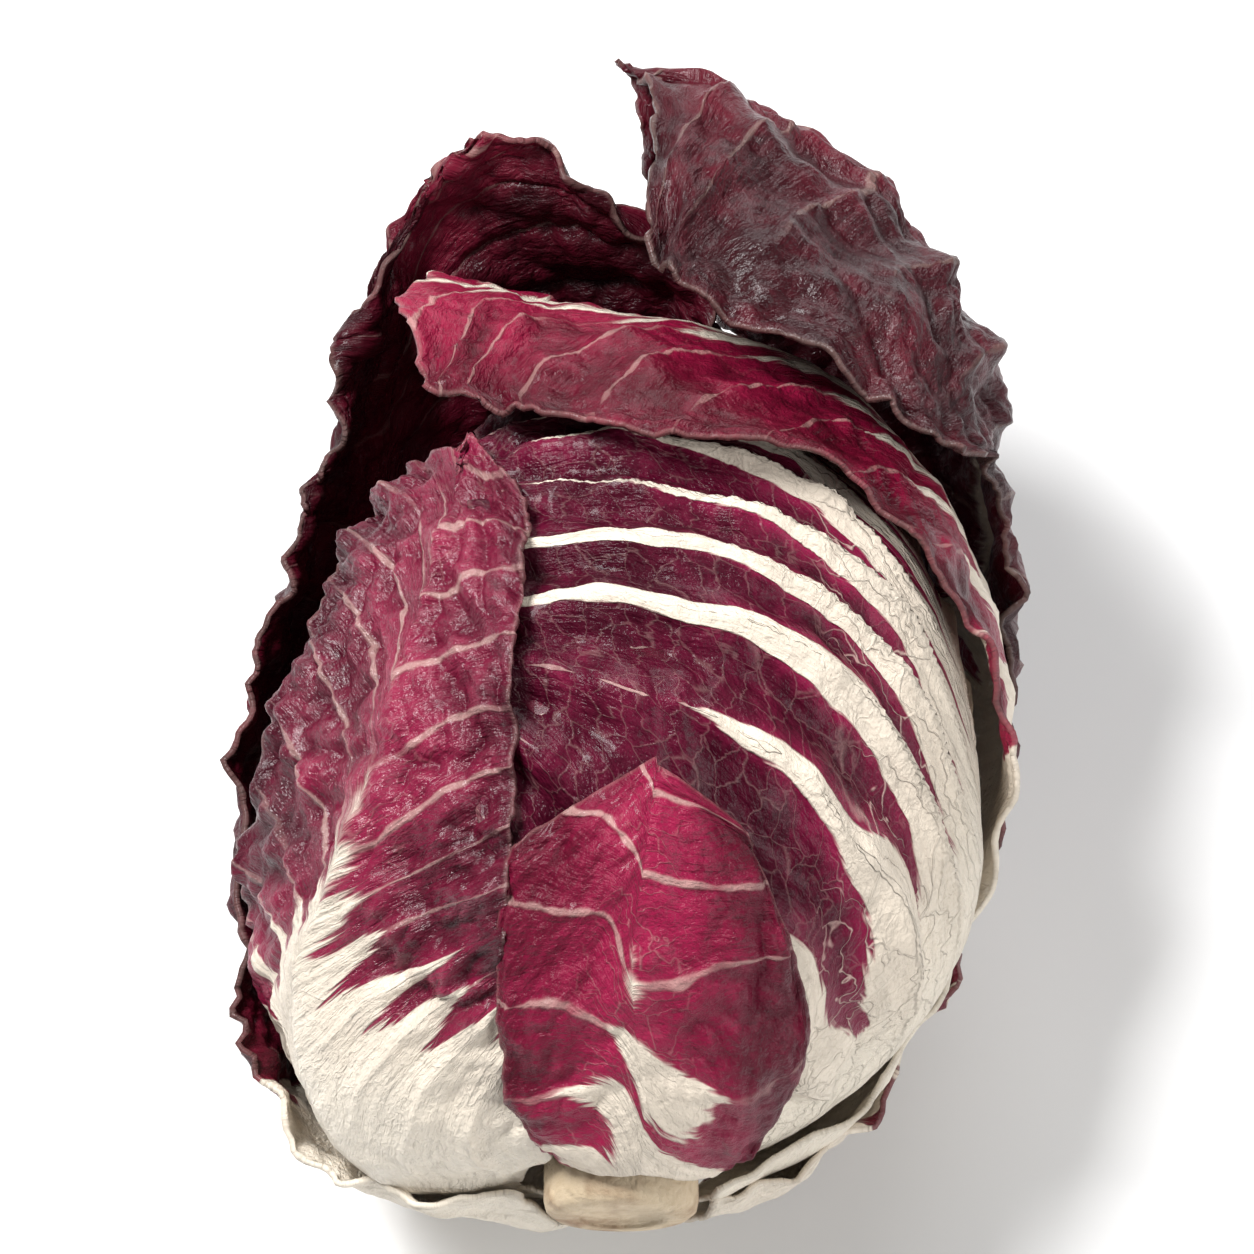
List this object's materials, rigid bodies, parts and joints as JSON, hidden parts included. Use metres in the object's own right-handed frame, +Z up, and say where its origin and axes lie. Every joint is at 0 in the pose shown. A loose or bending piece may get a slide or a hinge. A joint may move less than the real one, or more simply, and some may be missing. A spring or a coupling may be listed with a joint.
{
  "type": "radicchio head",
  "caption": "Small round head of red radicchio lying on its side, with loose crumpled burgundy wrapper leaves, broad cream midribs and a short cut stem.",
  "frame": {"origin": "under the middle of the head's bounding box, on the surface the head lies on", "axes": "+Z up; +Y along the head from the cut stem to the leaf tips; +X to the right, seen from above with the stem towards the viewer"},
  "size_m": [0.0716, 0.1028, 0.0662],
  "materials": {
    "wrapper_leaf": "glossy burgundy leaf blade that fades through magenta into a broad cream-white midrib",
    "heart_leaf": "smooth burgundy leaf blade with a cream-white midrib",
    "stem": "matt cream, dried to tan at the cut",
    "heart_bud": "smooth pale pink"
  },
  "bodies": {
    "root": {"outer_leaf_1": "wrapper_leaf", "outer_leaf_2": "wrapper_leaf", "outer_leaf_3": "wrapper_leaf", "outer_leaf_4": "wrapper_leaf", "outer_leaf_5": "wrapper_leaf", "outer_leaf_6": "wrapper_leaf", "inner_leaf_01": "heart_leaf", "inner_leaf_02": "heart_leaf", "inner_leaf_03": "heart_leaf", "inner_leaf_04": "heart_leaf", "inner_leaf_05": "heart_leaf", "inner_leaf_06": "heart_leaf", "inner_leaf_07": "heart_leaf", "inner_leaf_08": "heart_leaf", "inner_leaf_09": "heart_leaf", "inner_leaf_10": "heart_leaf", "inner_leaf_11": "heart_leaf", "inner_leaf_12": "heart_leaf", "inner_leaf_13": "heart_leaf", "inner_leaf_14": "heart_leaf", "inner_leaf_15": "heart_leaf", "inner_leaf_16": "heart_leaf", "inner_leaf_17": "heart_leaf", "stem": "stem", "heart_bud": "heart_bud"}
  },
  "joints": []
}
